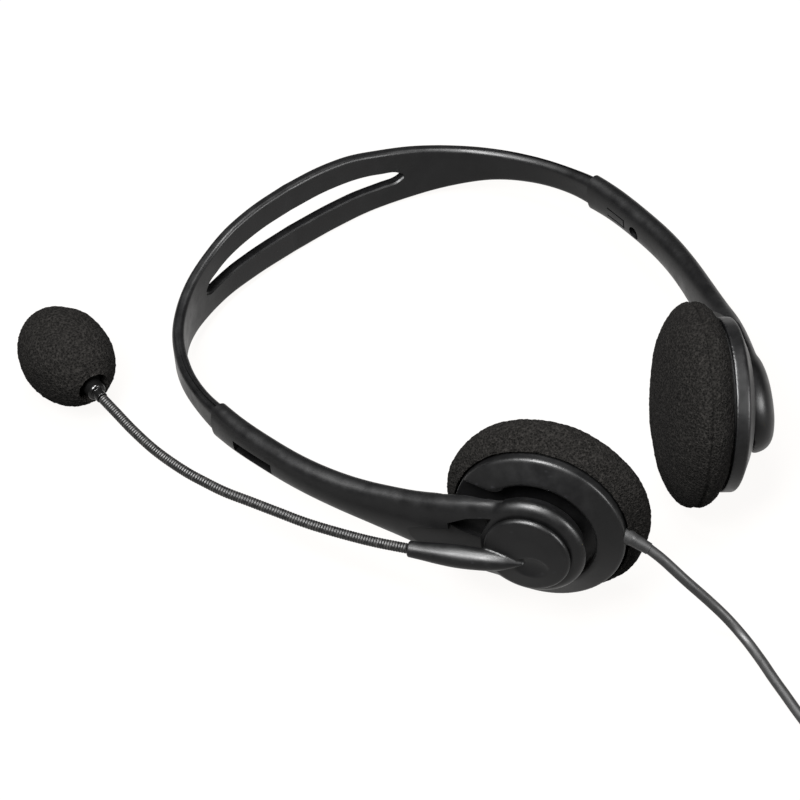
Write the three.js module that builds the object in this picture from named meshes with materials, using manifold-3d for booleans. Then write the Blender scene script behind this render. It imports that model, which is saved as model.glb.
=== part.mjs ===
// Light stereo headset with a swivelling microphone boom, lying on a bench.
// Millimetres, +Z up. The headset is built in its own flat frame (x across the head, y towards
// the crown, z through the thickness of the band) and then laid down, crown edge and ear pads
// touching the bench.
import * as THREE from 'three';
import { mergeVertices } from 'three/addons/utils/BufferGeometryUtils.js';
import Module from 'manifold-3d';

const wasm = await Module();
wasm.setup();

const DEG = Math.PI / 180;
const V = (x, y, z) => new THREE.Vector3(x, y, z);

// ---- driving dimensions -------------------------------------------------------------------
const GAP = 0.3;                    // clearance between touching pieces
const PITCH = -7.09 * DEG;          // crown end lower than the ear line
const ROLL = 2.0 * DEG;             // right side lower than the left
const REST_HEIGHT = 26.8;           // middle of the ear line above the bench

// Centre line of the right half of the headband and arm, crown first.
const SIDE_LINE = [
  [0, 143.6], [14.8, 142.7], [28.6, 140.6], [42.2, 134.9], [53.5, 125.4], [61.3, 112.6],
  [65.4, 99.1], [66.6, 86], [65.9, 72.3], [64.3, 60], [61.2, 47.7], [54.5, 29.5], [48.4, 15.4],
  [43.9, 6.4], [38.9, -2.2],
];
const SEAM = 95;                    // distance along the line from the crown to the arm's end
// How far the line rises above the flat of the headset, by distance from the crown.
const RISE = [[0, 2.2], [10, 2.3], [20, 1.9], [30, 0.8], [40, 0.2], [50, 0.1], [70, 1.0],
  [SEAM, 1.8], [112, 1.6], [130, 1.1], [145, 0.5], [165, 0]];
const BAND_WIDTH = [[0, 22.5], [10, 22.1], [20, 20.9], [30, 18.5], [38, 16.6], [46, 14.3], [54, 12.0],
  [62, 10.0], [70, 8.8], [78, 8.2], [86, 8.0], [SEAM, 8.6]];
const BAND_THICK = [[0, 3.0], [35, 3.1], [70, 3.4], [84, 3.5], [SEAM, 4.2]];
const SLOT_HALF_LENGTH = 36.5;      // the long slot through the crown
const SLOT_HALF_WIDTH = [[0, 3.45], [10, 3.4], [20, 3.0], [30, 2.2], [35, 1.5], [36.5, 0.6]];

const TONGUE_LENGTH = 34;           // leaves 10 mm in the arm when it is pulled out 24 mm
const TONGUE_WIDTH = 5.2;
const TONGUE_THICK = 1.4;
const TOOTH_PITCH = 1.5;

const ARM_HALF_HEIGHT = [[0, 5.5], [10, 5.1], [25, 4.9], [35, 5.1], [45, 5.6], [52, 6.2], [58, 7.0],
  [66, 8.2], [75, 10.1], [82, 11.6], [90, 12.8], [98, 13.3]];
const ARM_HALF_THICK = [[0, 3.0], [10, 3.2], [25, 3.3], [45, 3.3], [65, 3.5], [75, 3.9], [85, 3.5],
  [98, 3.1]];

const EAR = V(-33.4, 1.2, 0);       // centre of the left shell's outer rim
const EAR_TURN = 32 * DEG;          // how far each ear piece faces towards the crown
const SHELL_R = 23.1;
const RECESS_R = 16.0;              // keyhole hollow in the shell that the housing sits in
const RECESS_FLOOR = -0.6;
const NOTCH_HALF_WIDTH = 12.3;
const POD_R = 13.8;                 // round housing at the arm's end, over the ball joint
const POD_FLOOR = 3.6;
const POD_TOP = 9.6;
const CUSHION_R = 27.5;             // foam pad
const CUSHION_HALF_THICK = 9.9;
const CUSHION_MIDDLE = -10;
const LEFT_SEAT = 1.3;               // the left pad is pushed this much further on to its shell
const BALL_CENTRE = -0.4;           // on the ear axis
const BALL_R = 2.5;
const RIGHT_TILT = 10.5 * DEG;      // the right ear piece rests tipped on its ball

const KNOB_R = 11.6;                // the boom's swivelling hub
const KNOB_FACE = 11.6;
const GOOSENECK_R = 1.4;
// Gooseneck centre line in the left ear frame: towards the crown, outwards, through the band.
const GOOSENECK = [
  [31.4, 13.2, -2.2], [41.9, 11.4, -3.4], [52.5, 9.3, -4.1], [61.7, 7.3, -4.4], [70.1, 5.2, -4.2],
  [78.3, 3.1, -4.0], [86.2, 1.1, -3.8], [92.8, -1.3, -3.6], [98.8, -3.8, -3.4], [108.8, -9.2, -3.0],
  [117.2, -14.8, -2.2], [124.6, -20.4, -1.3], [129.2, -23.8, -0.6],
];
const NECK_JOINTS = [0.34, 0.7];    // where the gooseneck bends, as shares of its length
const MIC = V(143.8, -35.9, 1.4);
const NECK_STEP = 7;                 // length of one stretch of the gooseneck's facets
const WINDSCREEN_R = 12.5;

const CORD_R = 1.4;
// Cord from its strain relief down to the bench and away, in bench coordinates.
const CORD_ROUTE = [
  [-16.7, -22.8, 26.4], [-15.4, -25.7, 24.4], [-13.8, -28.7, 21.3], [-11.9, -31.5, 17.6],
  [-9.8, -34.0, 13.8], [-7.8, -36.3, 10.1], [-6.2, -38.8, 6.9], [-5.2, -41.5, 4.4],
  [-4.8, -44.5, 2.6], [-5.0, -47.8, 1.7], [-5.7, -51.4, 1.4], [-6.6, -55.0, 1.4],
  [-8.0, -60.0, 1.4], [-9.5, -66.0, 1.4], [-11.5, -74.0, 1.4], [-13.1, -82.0, 1.4],
  [-13.9, -91.0, 1.4], [-13.0, -101.5, 1.4],
];
const COIL_CENTRE = V(8.0, -97.2, 0);
const COIL_INNER = 8.5;
const COIL_OUTER = 22.9;
const COIL_BOTTOM = 1.1;
const COIL_TOP = 11.4;
const TIE_ANGLE = 40 * DEG;
// From the coil's last turn down to the plug.
const TAIL_ROUTE = [
  [8.0, -118.6, 9.9], [14.0, -118.6, 9.4], [20.0, -118.3, 7.7], [26.0, -117.4, 5.4],
  [31.8, -115.6, 3.2], [37.2, -112.8, 1.9], [41.0, -108.6, 1.9], [43.4, -103.8, 3.2],
  [44.8, -99.0, 4.0],
];
const PLUG_START = V(44.9, -98.7, 4.0);
const PLUG_DIRECTION = V(0.28, 0.96, 0).normalize();

// ---- colours -------------------------------------------------------------------------------
const paint = (color, roughness, metalness = 0) => ({ color, roughness, metalness });
const BLACK = paint(0x121213, 0.42);
const INNER = paint(0x1b1b1d, 0.6);
const FOAM = paint(0x1d1b1a, 0.98);
const CABLE = paint(0x161617, 0.62);
const NYLON = paint(0xc9c6bb, 0.5);
const STEEL = paint(0x9a9da1, 0.3, 0.9);
const GOLD = paint(0xcaa24a, 0.25, 1.0);
const FILM = paint(0x6f7478, 0.35);

// ---- helpers -------------------------------------------------------------------------------
function toSolid(geometry) {
  const bare = geometry.index ? geometry.clone() : geometry;
  bare.deleteAttribute('normal');
  bare.deleteAttribute('uv');
  const merged = mergeVertices(bare, 1e-4);
  const triVerts = new Uint32Array(merged.index.array);
  const vertProperties = new Float32Array(merged.attributes.position.array);
  const solid = new wasm.Manifold(new wasm.Mesh({ numProp: 3, vertProperties, triVerts }));
  if (solid.volume() > 0) return solid;
  for (let i = 0; i < triVerts.length; i += 3) {
    [triVerts[i], triVerts[i + 1]] = [triVerts[i + 1], triVerts[i]];
  }
  return new wasm.Manifold(new wasm.Mesh({ numProp: 3, vertProperties, triVerts }));
}

function toGeometry(solid) {
  const { vertProperties, triVerts } = solid.getMesh();
  const geometry = new THREE.BufferGeometry();
  geometry.setAttribute('position', new THREE.Float32BufferAttribute(vertProperties, 3));
  geometry.setIndex(new THREE.Uint32BufferAttribute(triVerts, 1));
  geometry.computeVertexNormals();
  return geometry;
}

const placed = (geometry, matrix) => toSolid(geometry.clone().applyMatrix4(matrix));

function piece(parent, name, shape, look) {
  const geometry = toGeometry(shape.isBufferGeometry ? toSolid(shape) : shape);
  const mesh = new THREE.Mesh(geometry, new THREE.MeshStandardMaterial(look));
  mesh.name = name;
  parent.add(mesh);
  return mesh;
}

function spin(profile, segments = 24) {
  return new THREE.LatheGeometry(profile.map(([r, y]) => new THREE.Vector2(r, y)), segments);
}

function arc(cx, cy, rx, ry, from, to, steps) {
  const points = [];
  for (let i = 0; i <= steps; i += 1) {
    const a = (from + ((to - from) * i) / steps) * DEG;
    points.push([cx + rx * Math.cos(a), cy + ry * Math.sin(a)]);
  }
  return points;
}

function lookUp(table, x) {
  if (x <= table[0][0]) return table[0][1];
  for (let i = 1; i < table.length; i += 1) {
    const [x0, y0] = table[i - 1];
    const [x1, y1] = table[i];
    if (x <= x1) return y0 + ((y1 - y0) * (x - x0)) / (x1 - x0);
  }
  return table[table.length - 1][1];
}

// A cylinder whose rings are moved to follow a line: place(ring, point) gives each corner.
function loft(rings, around, place, middle) {
  const geometry = new THREE.CylinderGeometry(1, 1, 1, around, rings - 1);
  const at = geometry.attributes.position;
  for (let v = 0; v < at.count; v += 1) {
    const ring = Math.round((0.5 - at.getY(v)) * (rings - 1));
    const onAxis = Math.hypot(at.getX(v), at.getZ(v)) < 0.5;
    const turn = Math.atan2(at.getZ(v), at.getX(v)) / (2 * Math.PI);
    const point = Math.round((turn + 1) * around) % around;
    const p = onAxis ? middle(ring) : place(ring, point);
    at.setXYZ(v, p.x, p.y, p.z);
  }
  return geometry;
}

// Corner number i of a rectangle with rounded corners, four corners of three points each.
function roundedCorner(i, halfA, halfB, radius) {
  const corner = Math.floor(i / 3);
  const a = (corner * 90 + (i % 3) * 45) * DEG;
  const signA = corner === 0 || corner === 3 ? 1 : -1;
  const signB = corner < 2 ? 1 : -1;
  const r = Math.min(radius, halfA, halfB);
  return [signA * (halfA - r) + r * Math.cos(a), signB * (halfB - r) + r * Math.sin(a)];
}

// Corner number i of n round a superellipse, which is boxier than an ellipse.
function ovalCorner(i, n, halfA, halfB, power = 2.5) {
  const a = ((i + 0.5) / n) * 2 * Math.PI;
  const c = Math.cos(a);
  const s = Math.sin(a);
  const k = (Math.abs(c) ** power + Math.abs(s) ** power) ** (-1 / power);
  return [halfA * k * c, halfB * k * s];
}

function tube(points, radius, steps, sides = 8) {
  const path = new THREE.CatmullRomCurve3(points.map((p) => V(...p)), false, 'centripetal');
  const circle = new THREE.Shape();
  for (let i = 0; i < sides; i += 1) {
    const a = (i / sides) * 2 * Math.PI;
    const x = radius * Math.cos(a);
    const y = radius * Math.sin(a);
    if (i === 0) circle.moveTo(x, y);
    else circle.lineTo(x, y);
  }
  return new THREE.ExtrudeGeometry(circle, { steps, extrudePath: path, curveSegments: 1 });
}

function box(x0, x1, y0, y1, z0, z1) {
  const geometry = new THREE.BoxGeometry(x1 - x0, y1 - y0, z1 - z0);
  return geometry.translate((x0 + x1) / 2, (y0 + y1) / 2, (z0 + z1) / 2);
}

// A box whose z range is given towards one side, +1 or -1.
function sideBox(x0, x1, y0, y1, side, near, far) {
  return box(x0, x1, y0, y1, Math.min(side * near, side * far), Math.max(side * near, side * far));
}

// ---- frames --------------------------------------------------------------------------------
// Ear frame: x towards the crown, y outwards along the ear axis, origin at the shell's rim.
function earMatrix(side) {
  const outward = V(side * Math.cos(EAR_TURN), -Math.sin(EAR_TURN), 0);
  const crownward = V(side * Math.sin(EAR_TURN), Math.cos(EAR_TURN), 0);
  const third = crownward.clone().cross(outward);
  const matrix = new THREE.Matrix4().makeBasis(crownward, outward, third);
  return matrix.setPosition(side * Math.abs(EAR.x), EAR.y, EAR.z);
}

const sideCurve = new THREE.CatmullRomCurve3(SIDE_LINE.map(([x, y]) => V(x, y, 0)), false,
  'centripetal');
sideCurve.arcLengthDivisions = 800;
const SIDE_LENGTH = sideCurve.getLength();

// Point and outward normal at a distance along the line; the left half is its mirror image.
function along(distance) {
  const side = distance < 0 ? -1 : 1;
  const share = Math.min(Math.abs(distance) / SIDE_LENGTH, 1);
  const p = sideCurve.getPointAt(share);
  const t = share < 0.002 ? V(1, 0, 0) : sideCurve.getTangentAt(share);
  return { p: V(side * p.x, p.y, lookUp(RISE, Math.abs(distance))), normal: V(-side * t.y, t.x, 0) };
}

function stripPoint(distance, across, out) {
  const { p, normal } = along(distance);
  return V(p.x + normal.x * out, p.y + normal.y * out, p.z + across);
}

// Slide frame: x along the tongue, y away from the head, origin at the arm's end.
function slideFrame(side) {
  const start = along(side * (SEAM + GAP)).p;
  const end = along(side * (SEAM + TONGUE_LENGTH)).p;
  const forward = end.sub(start).normalize();
  const out = V(0, 0, 1).cross(forward).normalize().multiplyScalar(side);
  const third = forward.clone().cross(out);
  return new THREE.Matrix4().makeBasis(forward, out, third).setPosition(start);
}

// ---- headband ------------------------------------------------------------------------------
function headband() {
  const rings = 37;
  const reach = SEAM - GAP / 2;
  const at = (ring) => -reach + (2 * reach * ring) / (rings - 1);
  const strip = loft(rings, 12, (ring, i) => {
    const s = at(ring);
    const w = lookUp(BAND_WIDTH, Math.abs(s)) / 2;
    const t = lookUp(BAND_THICK, Math.abs(s)) / 2;
    const [across, out] = roundedCorner(i, w, t, 1.0);
    return stripPoint(s, across, out);
  }, (ring) => along(at(ring)).p);
  const slotRings = 15;
  const slotAt = (ring) => SLOT_HALF_LENGTH * Math.sin(((ring / (slotRings - 1)) - 0.5) * Math.PI);
  const slot = loft(slotRings, 4, (ring, i) => {
    const s = slotAt(ring);
    const w = lookUp(SLOT_HALF_WIDTH, Math.abs(s));
    return stripPoint(s, i === 0 || i === 3 ? w : -w, i < 2 ? 4 : -4);
  }, (ring) => along(slotAt(ring)).p);
  let band = toSolid(strip).subtract(toSolid(slot));
  for (const side of [-1, 1]) {
    band = band.add(tongue(side));
  }
  return band;
}

// The tongue is a straight strip with ratchet teeth on its outer face.
function tongue(side) {
  const frame = slideFrame(side);
  const half = TONGUE_THICK / 2;
  let strip = placed(box(-4, TONGUE_LENGTH, -half, half, -TONGUE_WIDTH / 2, TONGUE_WIDTH / 2), frame);
  for (let x = 3; x < TONGUE_LENGTH - 2; x += TOOTH_PITCH) {
    const groove = new THREE.BoxGeometry(0.7, 0.7, 3.4).rotateZ(45 * DEG);
    groove.translate(x, half, side * -1.1);
    strip = strip.subtract(placed(groove, frame));
  }
  return strip;
}

// ---- arms ----------------------------------------------------------------------------------
// Flat on the left arm under the boom's holder, and the pocket between it and the knob: corners
// (towards the crown, through the band) in the left ear frame.
const BOOM_FLAT = [[34, -1.2], [29.9, 0.7], [22.7, 2.4], [12.8, 2.4], [12.8, -13], [34, -13]];
const KNOB_POCKET = [[21.8, 4.5], [16.5, 7.2], [9.4, 8.9], [12.6, 2.6], [13.3, -1.0], [19.6, 1.1],
  [21.6, 2.4]];

// An outline of (x, z) corners drawn out along y.
function pillar(outline, low, high) {
  const shape = new THREE.Shape(outline.map(([x, z]) => new THREE.Vector2(x, z)));
  const body = new THREE.ExtrudeGeometry(shape, { depth: high - low, bevelEnabled: false });
  return body.rotateX(90 * DEG).translate(0, high, 0);
}

function armBody(side) {
  const start = SEAM + GAP / 2;
  const length = SIDE_LENGTH - start;
  const rings = 18;
  const around = 12;
  const at = (ring) => start + (length * ring) / (rings - 1);
  const rail = loft(rings, around, (ring, i) => {
    const d = at(ring) - start;
    const [across, out] = ovalCorner(i, around, lookUp(ARM_HALF_HEIGHT, d),
      lookUp(ARM_HALF_THICK, d));
    return stripPoint(side * at(ring), across, out);
  }, (ring) => along(side * at(ring)).p);
  const crown = side < 0
    ? [[POD_R, 5.4], [15.0, 7.2], [15.0, 7.6], [14.2, 8.8], [13.1, 9.4], [12.2, POD_TOP], [0, POD_TOP]]
    : [[13.5, 6.6], [12.6, 8.3], [10.8, 9.6], [7.5, 10.6], [3.5, 11.0], [0, 11.1]];
  const dome = spin([[0, POD_FLOOR], [POD_R, POD_FLOOR], [POD_R, 4.8], ...crown], 26);
  return toSolid(rail).add(placed(dome, earMatrix(side)));
}

function arm(side) {
  const ear = earMatrix(side);
  const slide = slideFrame(side);
  const cutHalf = TONGUE_THICK / 2 + GAP;
  const cutSide = TONGUE_WIDTH / 2 + GAP;
  let solid = armBody(side);
  const room = side < 0 ? [[11.9, 8.2], [0, 8.2]] : [[11.9, 5.4], [5, 5.4], [5, 6.6], [0, 6.6]];
  const cuts = [
    // room for the ball stud and its cover, open towards the ear shell
    placed(spin([[0, POD_FLOOR - 3], [11.9, POD_FLOOR - 3], ...room], 24), ear),
    // channel for the headband's tongue
    placed(box(-3, TONGUE_LENGTH + 1, -cutHalf, cutHalf, -cutSide, cutSide), slide),
    // window on the outer face and its finger hole on the inner face
    placed(sideBox(9, 23.5, 0, 6, side, -2.8, 0.7), slide),
    placed(new THREE.CylinderGeometry(1.9, 1.9, 6, 16).translate(20.2, -3, side * -0.7), slide),
  ];
  // hollow underside that leaves the ear piece room to turn on its ball
  const under = new THREE.Shape([[12, 4.2], [24, 3.6], [33, 0.1], [33, -8], [12, -8]].map(
    ([x, y]) => new THREE.Vector2(x, y)));
  const relief = new THREE.ExtrudeGeometry(under, { depth: 32, bevelEnabled: false });
  cuts.push(placed(relief.translate(0, 0, -16), ear));
  // the flared sides stay above the rim of the shell's hollow when the ear piece tilts
  for (const edge of [-1, 1]) {
    cuts.push(placed(sideBox(6.8, 34, -8, 6.8, edge, 10.8, 16), ear));
  }
  // U-shaped groove that frees the detent finger on the inner face
  for (const z of [-1.6, 0.9]) {
    cuts.push(placed(sideBox(8.5, 16, -6, 0, side, z - 0.25, z + 0.25), slide));
  }
  cuts.push(placed(sideBox(15.5, 16, -6, 0, side, -1.85, 1.15), slide));
  if (side < 0) {
    cuts.push(placed(new THREE.CylinderGeometry(2.7, 2.7, 8, 20).translate(0, 9, 0), ear));
    cuts.push(placed(pillar(BOOM_FLAT, 6.7, 14.2), ear));
    cuts.push(placed(pillar(KNOB_POCKET, 5.4, 14.2), ear));
  }
  for (const cut of cuts) {
    solid = solid.subtract(cut);
  }
  return solid;
}

const podCover = spin([[1.7, POD_FLOOR], [11.5, POD_FLOOR], [11.5, 5.0], [1.7, 5.0],
  [1.7, POD_FLOOR]], 20);

const ballStud = spin([
  ...arc(0, BALL_CENTRE, BALL_R, BALL_R, -90, 58, 7),
  [1.3, POD_FLOOR], [1.3, 5.3], [3.4, 5.3], [3.4, 5.9], [0, 5.9],
], 14);

// Split nylon liner between the ball and its socket.
const liner = spin([
  ...arc(0, BALL_CENTRE, 2.85, 2.85, -48, 46, 5),
  ...arc(0, BALL_CENTRE, 3.5, 3.5, 46, -48, 5),
  [2.85 * Math.cos(-48 * DEG), BALL_CENTRE + 2.85 * Math.sin(-48 * DEG)],
], 14);

// ---- ear pieces ----------------------------------------------------------------------------
function earShell() {
  const wall = 1.4;
  const outline = [
    ...arc(0, BALL_CENTRE, 3.8, 3.8, -44, 43, 5),
    [5.2, 2.0], [5.5, 1.6], [5.5, RECESS_FLOOR], [RECESS_R, RECESS_FLOOR], [RECESS_R, 2.7],
    [16.5, 3.0], [17.2, 2.9], [22.6, 0.5], [SHELL_R, 0], [SHELL_R, -3.4],
    [SHELL_R - wall, -3.4], [SHELL_R - wall, -0.8], [17.2, 1.4], [RECESS_R + wall, 1.2],
    [RECESS_R + wall, RECESS_FLOOR - 1.1], [5.4, RECESS_FLOOR - 1.1], [4.4, -2.9],
  ];
  outline.push(outline[0]);
  const envelope = spin([[0, -2.0], [SHELL_R - 0.6, -2.0], [SHELL_R - 0.6, 0.2], [17, 2.9],
    [0, 2.9]], 26);
  const around = NOTCH_HALF_WIDTH + wall;
  const floor = RECESS_FLOOR - 1.1;
  const block = toSolid(box(8, 24, floor, 4, -around, around)).intersect(toSolid(envelope))
    .subtract(toSolid(spin([[0, -5], [RECESS_R - 0.5, -5], [RECESS_R - 0.5, 6], [0, 6]], 26)));
  const notch = toSolid(box(0, 30, RECESS_FLOOR, 8, -NOTCH_HALF_WIDTH, NOTCH_HALF_WIDTH))
    .subtract(toSolid(spin([[0, -5], [6, -5], [6, 6], [0, 6]], 20)));
  return toSolid(spin(outline, 26)).add(block).subtract(notch);
}

// Strain relief on the shell's edge, where the cord leaves in a slanting line.
const RELIEF_START = V(-22.6, -1.7, 0);
const RELIEF_ANGLE = 30 * DEG;
const RELIEF_LENGTH = 7.5;

function reliefMatrix() {
  const direction = V(-Math.cos(RELIEF_ANGLE), 0, -Math.sin(RELIEF_ANGLE));
  const turn = new THREE.Quaternion().setFromUnitVectors(V(0, 1, 0), direction);
  return new THREE.Matrix4().compose(RELIEF_START, turn, V(1, 1, 1));
}

function cordRelief() {
  const sleeve = spin([[0, 0.8], [2.0, 0.8], [2.0, 1.8], [1.8, 2.4], [1.6, RELIEF_LENGTH - GAP],
    [0, RELIEF_LENGTH - GAP]], 14);
  return placed(sleeve, reliefMatrix()).subtract(
    toSolid(spin([[0, -9], [SHELL_R + GAP, -9], [SHELL_R + GAP, 9], [0, 9]], 28)));
}

function baffle() {
  let plate = toSolid(spin([[0, -9.2], [22.7, -9.2], [22.7, -8.0], [21.3, -8.0], [21.3, -2.1],
    [20.0, -2.1], [20.0, -8.0], [0, -8.0]], 24));
  for (let i = 0; i < 7; i += 1) {
    const a = (i * 60) * DEG;
    const reach = i < 6 ? 7.5 : 0;
    const hole = new THREE.CylinderGeometry(2.2, 2.2, 4, 8);
    hole.translate(reach * Math.cos(a), -8.6, reach * Math.sin(a));
    plate = plate.subtract(toSolid(hole));
  }
  return plate;
}

const driverFrame = spin([[9.2, -4.9], [14.0, -6.6], [15.2, -6.9], [15.2, -7.7], [13.9, -7.7],
  [8.4, -5.6], [8.4, -4.9], [9.2, -4.9]], 20);
const diaphragm = spin([[0, -6.6], [4.5, -7.0], [12.6, -7.7], [12.6, -7.45], [4.5, -6.75],
  [0, -6.35]], 20);
const magnet = spin([[0, -6.0], [7.9, -6.0], [7.9, -4.4], [6.9, -3.3], [0, -3.3]], 18);

// The left pad is seated deeper, so that its back laps round the shell's side wall.
function cushion(side) {
  const grip = [[21.9, -4.6], [21.7, -5.2], [21.7, -7.6], [23.1, -7.6], [23.1, -9.5], [0, -9.5]];
  if (side > 0) {
    return toSolid(spin([...arc(0, CUSHION_MIDDLE, CUSHION_R, CUSHION_HALF_THICK, -90, 31, 9),
      ...grip], 26));
  }
  const middle = CUSHION_MIDDLE + LEFT_SEAT;
  const lip = [[25.7, -3.9], [24.7, -2.2], [SHELL_R + 0.35, -1.6], [SHELL_R + 0.35, -3.7]];
  const pad = spin([...arc(0, middle, CUSHION_R, CUSHION_HALF_THICK, -90, 18, 8), ...lip, ...grip], 26);
  const room = placed(spin([[0, -4], [2.3, -4], [2.3, 12], [0, 12]], 14), reliefMatrix());
  return toSolid(pad).subtract(room);
}

// ---- microphone boom -----------------------------------------------------------------------
function boomHub() {
  const knob = spin([[1.2, POD_TOP + GAP], [KNOB_R - 0.3, POD_TOP + GAP], [KNOB_R, 10.2],
    [KNOB_R, 11.0], [11.0, KNOB_FACE], [6, 12.3], [1.2, 12.5], [1.2, POD_TOP + GAP]], 26);
  const shaft = spin([[1.2, 7.2], [2.3, 7.2], [2.3, 10.4], [1.2, 10.4], [1.2, 7.2]], 12);
  const start = V(...GOOSENECK[0]);
  const tip = V(0.5, 12.2, -2.4);
  const radii = [2.15, 2.38, 2.66, 2.91, 3.04, 3.0, 2.8, 2.45, 1.5, 0.3];
  const rings = radii.length;
  const holder = loft(rings, 10, (ring, i) => {
    const share = ring / (rings - 1);
    const middle = start.clone().lerp(tip, share);
    const droop = 0.9 * Math.sin(share * Math.PI * 0.5) * (1 - share);
    const a = (i / 10) * 2 * Math.PI;
    return middle.add(V(0, droop + radii[ring] * Math.cos(a), radii[ring] * Math.sin(a)));
  }, (ring) => start.clone().lerp(tip, ring / (rings - 1)));
  const cap = spin([[0, 11.9], [2, 11.9], [2, 12.7], [0, 12.7]], 12);
  return toSolid(knob).add(toSolid(shaft)).add(toSolid(holder)).add(toSolid(cap));
}

const boomWasher = spin([[2.6, 7.3], [6.0, 7.4], [6.0, 7.9], [2.6, 7.8], [2.6, 7.3]], 16);
const boomScrew = spin([[0, 6.3], [3.6, 6.3], [3.6, 6.9], [0.9, 6.9], [0.9, 10.8], [0, 10.8]], 12);

const neckCurve = new THREE.CatmullRomCurve3(GOOSENECK.map((p) => V(...p)), false, 'centripetal');
const NECK_LENGTH = neckCurve.getLength();

// A stretch of the gooseneck; a rounded end lets the next stretch bend against it.
function neckStretch(from, to, roundStart, roundEnd) {
  const stations = [];
  const length = to - from;
  const cap = [0.15, 0.6, 1.4].map((d) => [d * GOOSENECK_R / 1.4,
    GOOSENECK_R * Math.sqrt(1 - (1 - d / 1.4) ** 2)]);
  stations.push([0, roundStart ? 0.15 : GOOSENECK_R]);
  if (roundStart) cap.forEach(([d, r]) => stations.push([d, r]));
  const steps = Math.round(length / NECK_STEP);
  for (let i = 1; i < steps; i += 1) stations.push([(length * i) / steps, GOOSENECK_R]);
  if (roundEnd) cap.slice().reverse().forEach(([d, r]) => stations.push([length - d, r]));
  stations.push([length, roundEnd ? 0.15 : GOOSENECK_R]);
  const at = (ring) => (from + stations[ring][0]) / NECK_LENGTH;
  return loft(stations.length, 8, (ring, i) => {
    const tangent = neckCurve.getTangentAt(at(ring));
    const side = tangent.clone().cross(V(0, 0, 1)).normalize();
    const up = side.clone().cross(tangent);
    const a = (i / 8) * 2 * Math.PI;
    const r = stations[ring][1];
    return neckCurve.getPointAt(at(ring)).addScaledVector(side, r * Math.cos(a))
      .addScaledVector(up, r * Math.sin(a));
  }, (ring) => neckCurve.getPointAt(at(ring)));
}

// Microphone frame: y from the gooseneck towards the windscreen's front.
function micMatrix() {
  const direction = MIC.clone().sub(neckCurve.getPointAt(1)).normalize();
  const turn = new THREE.Quaternion().setFromUnitVectors(V(0, 1, 0), direction);
  return new THREE.Matrix4().compose(MIC, turn, V(1, 1, 1));
}

const micReach = MIC.distanceTo(neckCurve.getPointAt(1)) - GAP;
const micHousing = spin([[0, -micReach], [1.6, -micReach], [1.6, -16.4], [2.3, -16.3], [2.6, -15.9],
  [2.6, -12.6], [3.4, -12.0], [3.4, 0.2], [0, 0.2]], 16);
const micCapsule = spin([[0, 0.5], [3.1, 0.5], [3.1, 3.2], [0, 3.2]], 12);
const windscreen = spin([[0, 3.5], [3.7, 3.5], [3.7, -12.4], [4.0, -13.4],
  ...arc(0, 0.3, WINDSCREEN_R, 15.9, -70, 90, 9)], 20);

// ---- cord, coil and plug -------------------------------------------------------------------
function coilProfile(grow) {
  const c = 1.4;
  const inner = COIL_INNER - grow;
  const outer = COIL_OUTER + grow;
  const low = COIL_BOTTOM - grow;
  const high = COIL_TOP + grow;
  return [[inner + c, low], [outer - c, low], [outer, low + c], [outer, high - c],
    [outer - c, high], [inner + c, high], [inner, high - c], [inner, low + c], [inner + c, low]];
}

function coilRing(grow = 0) {
  return spin(coilProfile(grow), 26).rotateX(90 * DEG).translate(COIL_CENTRE.x, COIL_CENTRE.y, 0);
}

function coilTie() {
  const wrap = new THREE.Shape([[6.8, 0], [24.1, 0], [24.1, 12.5], [6.8, 12.5]].map(
    ([x, y]) => new THREE.Vector2(x, y)));
  wrap.holes.push(new THREE.Path([[7.6, 0.7], [23.3, 0.7], [23.3, 11.8], [7.6, 11.8]].map(
    ([x, y]) => new THREE.Vector2(x, y))));
  const band = new THREE.ExtrudeGeometry(wrap, { depth: 5, bevelEnabled: false });
  band.translate(0, 0, -2.5).rotateX(90 * DEG).rotateZ(TIE_ANGLE);
  return band.translate(COIL_CENTRE.x, COIL_CENTRE.y, 0);
}

function plugMatrix() {
  const turn = new THREE.Quaternion().setFromUnitVectors(V(0, 1, 0), PLUG_DIRECTION);
  return new THREE.Matrix4().compose(PLUG_START, turn, V(1, 1, 1));
}

const plugRelief = spin([[0, 0], [1.9, 0], [2.7, 8.7], [0, 8.7]], 12);
// The contacts sit in a bore in the body, with a flat shoulder round them.
const plugBody = spin([[0, 9], [3.4, 9], [3.9, 10], [3.9, 25.4], [3.5, 26], [2.1, 26], [2.1, 22],
  [0, 22]], 16);
const plugContacts = spin([[0, 22.3], [1.75, 22.3], [1.75, 37.4], [1.3, 38.0], [1.7, 38.8],
  [0.6, 40.3], [0, 40.3]], 12);

// ---- assembly ------------------------------------------------------------------------------
const object = new THREE.Group();
const headset = new THREE.Group();
headset.rotation.set(PITCH, ROLL, 0, 'XYZ');
headset.position.z = REST_HEIGHT;
object.add(headset);

function framed(parent, matrix) {
  const group = new THREE.Group();
  group.applyMatrix4(matrix);
  parent.add(group);
  return group;
}

piece(headset, 'headband', headband(), BLACK);

function armSet(side, label) {
  piece(headset, `${label}_arm_shell`, arm(side), BLACK);
  const ear = framed(headset, earMatrix(side));
  piece(ear, `${label}_pod_cover`, podCover, INNER);
  piece(ear, `${label}_ball_stud`, ballStud, STEEL);
}

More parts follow.
